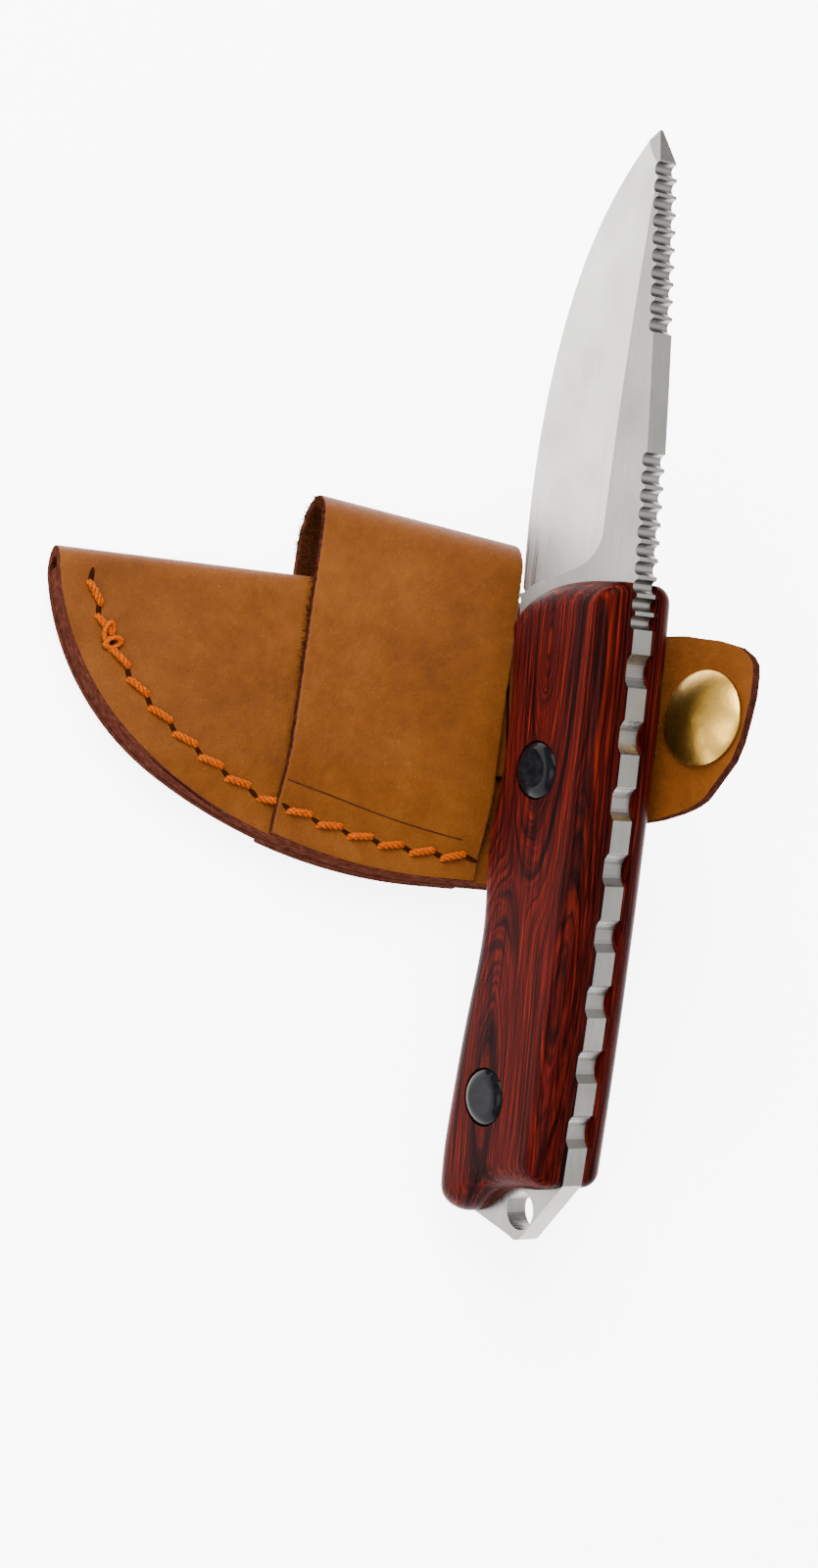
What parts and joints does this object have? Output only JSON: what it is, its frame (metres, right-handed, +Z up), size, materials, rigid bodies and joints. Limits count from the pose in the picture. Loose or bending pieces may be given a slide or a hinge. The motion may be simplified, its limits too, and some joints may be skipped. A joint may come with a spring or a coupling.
{
  "type": "fixed-blade knife with belt sheath",
  "caption": "Full-tang fixed-blade knife with wooden scales and bolts, standing on its handle against the snap strap of its sewn leather belt sheath.",
  "frame": {"origin": "on the underside of the belt loop, the flat face the sheath rests on", "axes": "+X from the sheath's tip to its mouth, +Y from the sewn seam to the fold and along the knife to its tip, +Z up off the rest face"},
  "size_m": [0.1141, 0.1933, 0.0756],
  "materials": {
    "blade_steel": "satin",
    "scale_wood": "gloss",
    "bolt_black": "gloss",
    "tan_leather": "waxed",
    "snap_brass": "antique",
    "seam_thread": "waxed"
  },
  "bodies": {
    "sheath": {"pocket": "tan_leather", "welt": "tan_leather", "belt_loop": "tan_leather", "strap_root": "tan_leather", "snap_stud": "snap_brass", "snap_post": "snap_brass", "seam_thread_front": "seam_thread", "seam_thread_back": "seam_thread"},
    "strap": {"keeper_strap": "tan_leather", "snap_cap": "snap_brass", "snap_socket": "snap_brass"},
    "knife": {"blade": "blade_steel", "left_scale": "scale_wood", "right_scale": "scale_wood", "front_bolt_sleeve": "bolt_black", "front_bolt_screw": "bolt_black", "rear_bolt_sleeve": "bolt_black", "rear_bolt_screw": "bolt_black"}
  },
  "joints": [
    {"name": "knife_lift", "type": "slide", "parent": "sheath", "child": "knife", "axis": [0, 0, 1], "range_m": [0, 0.08]},
    {"name": "strap_flex", "type": "hinge", "parent": "sheath", "child": "strap", "pos_m": [0.0403, -0.0033, 0.0117], "axis": [0, 1, 0], "range_deg": [0, 30]}
  ]
}
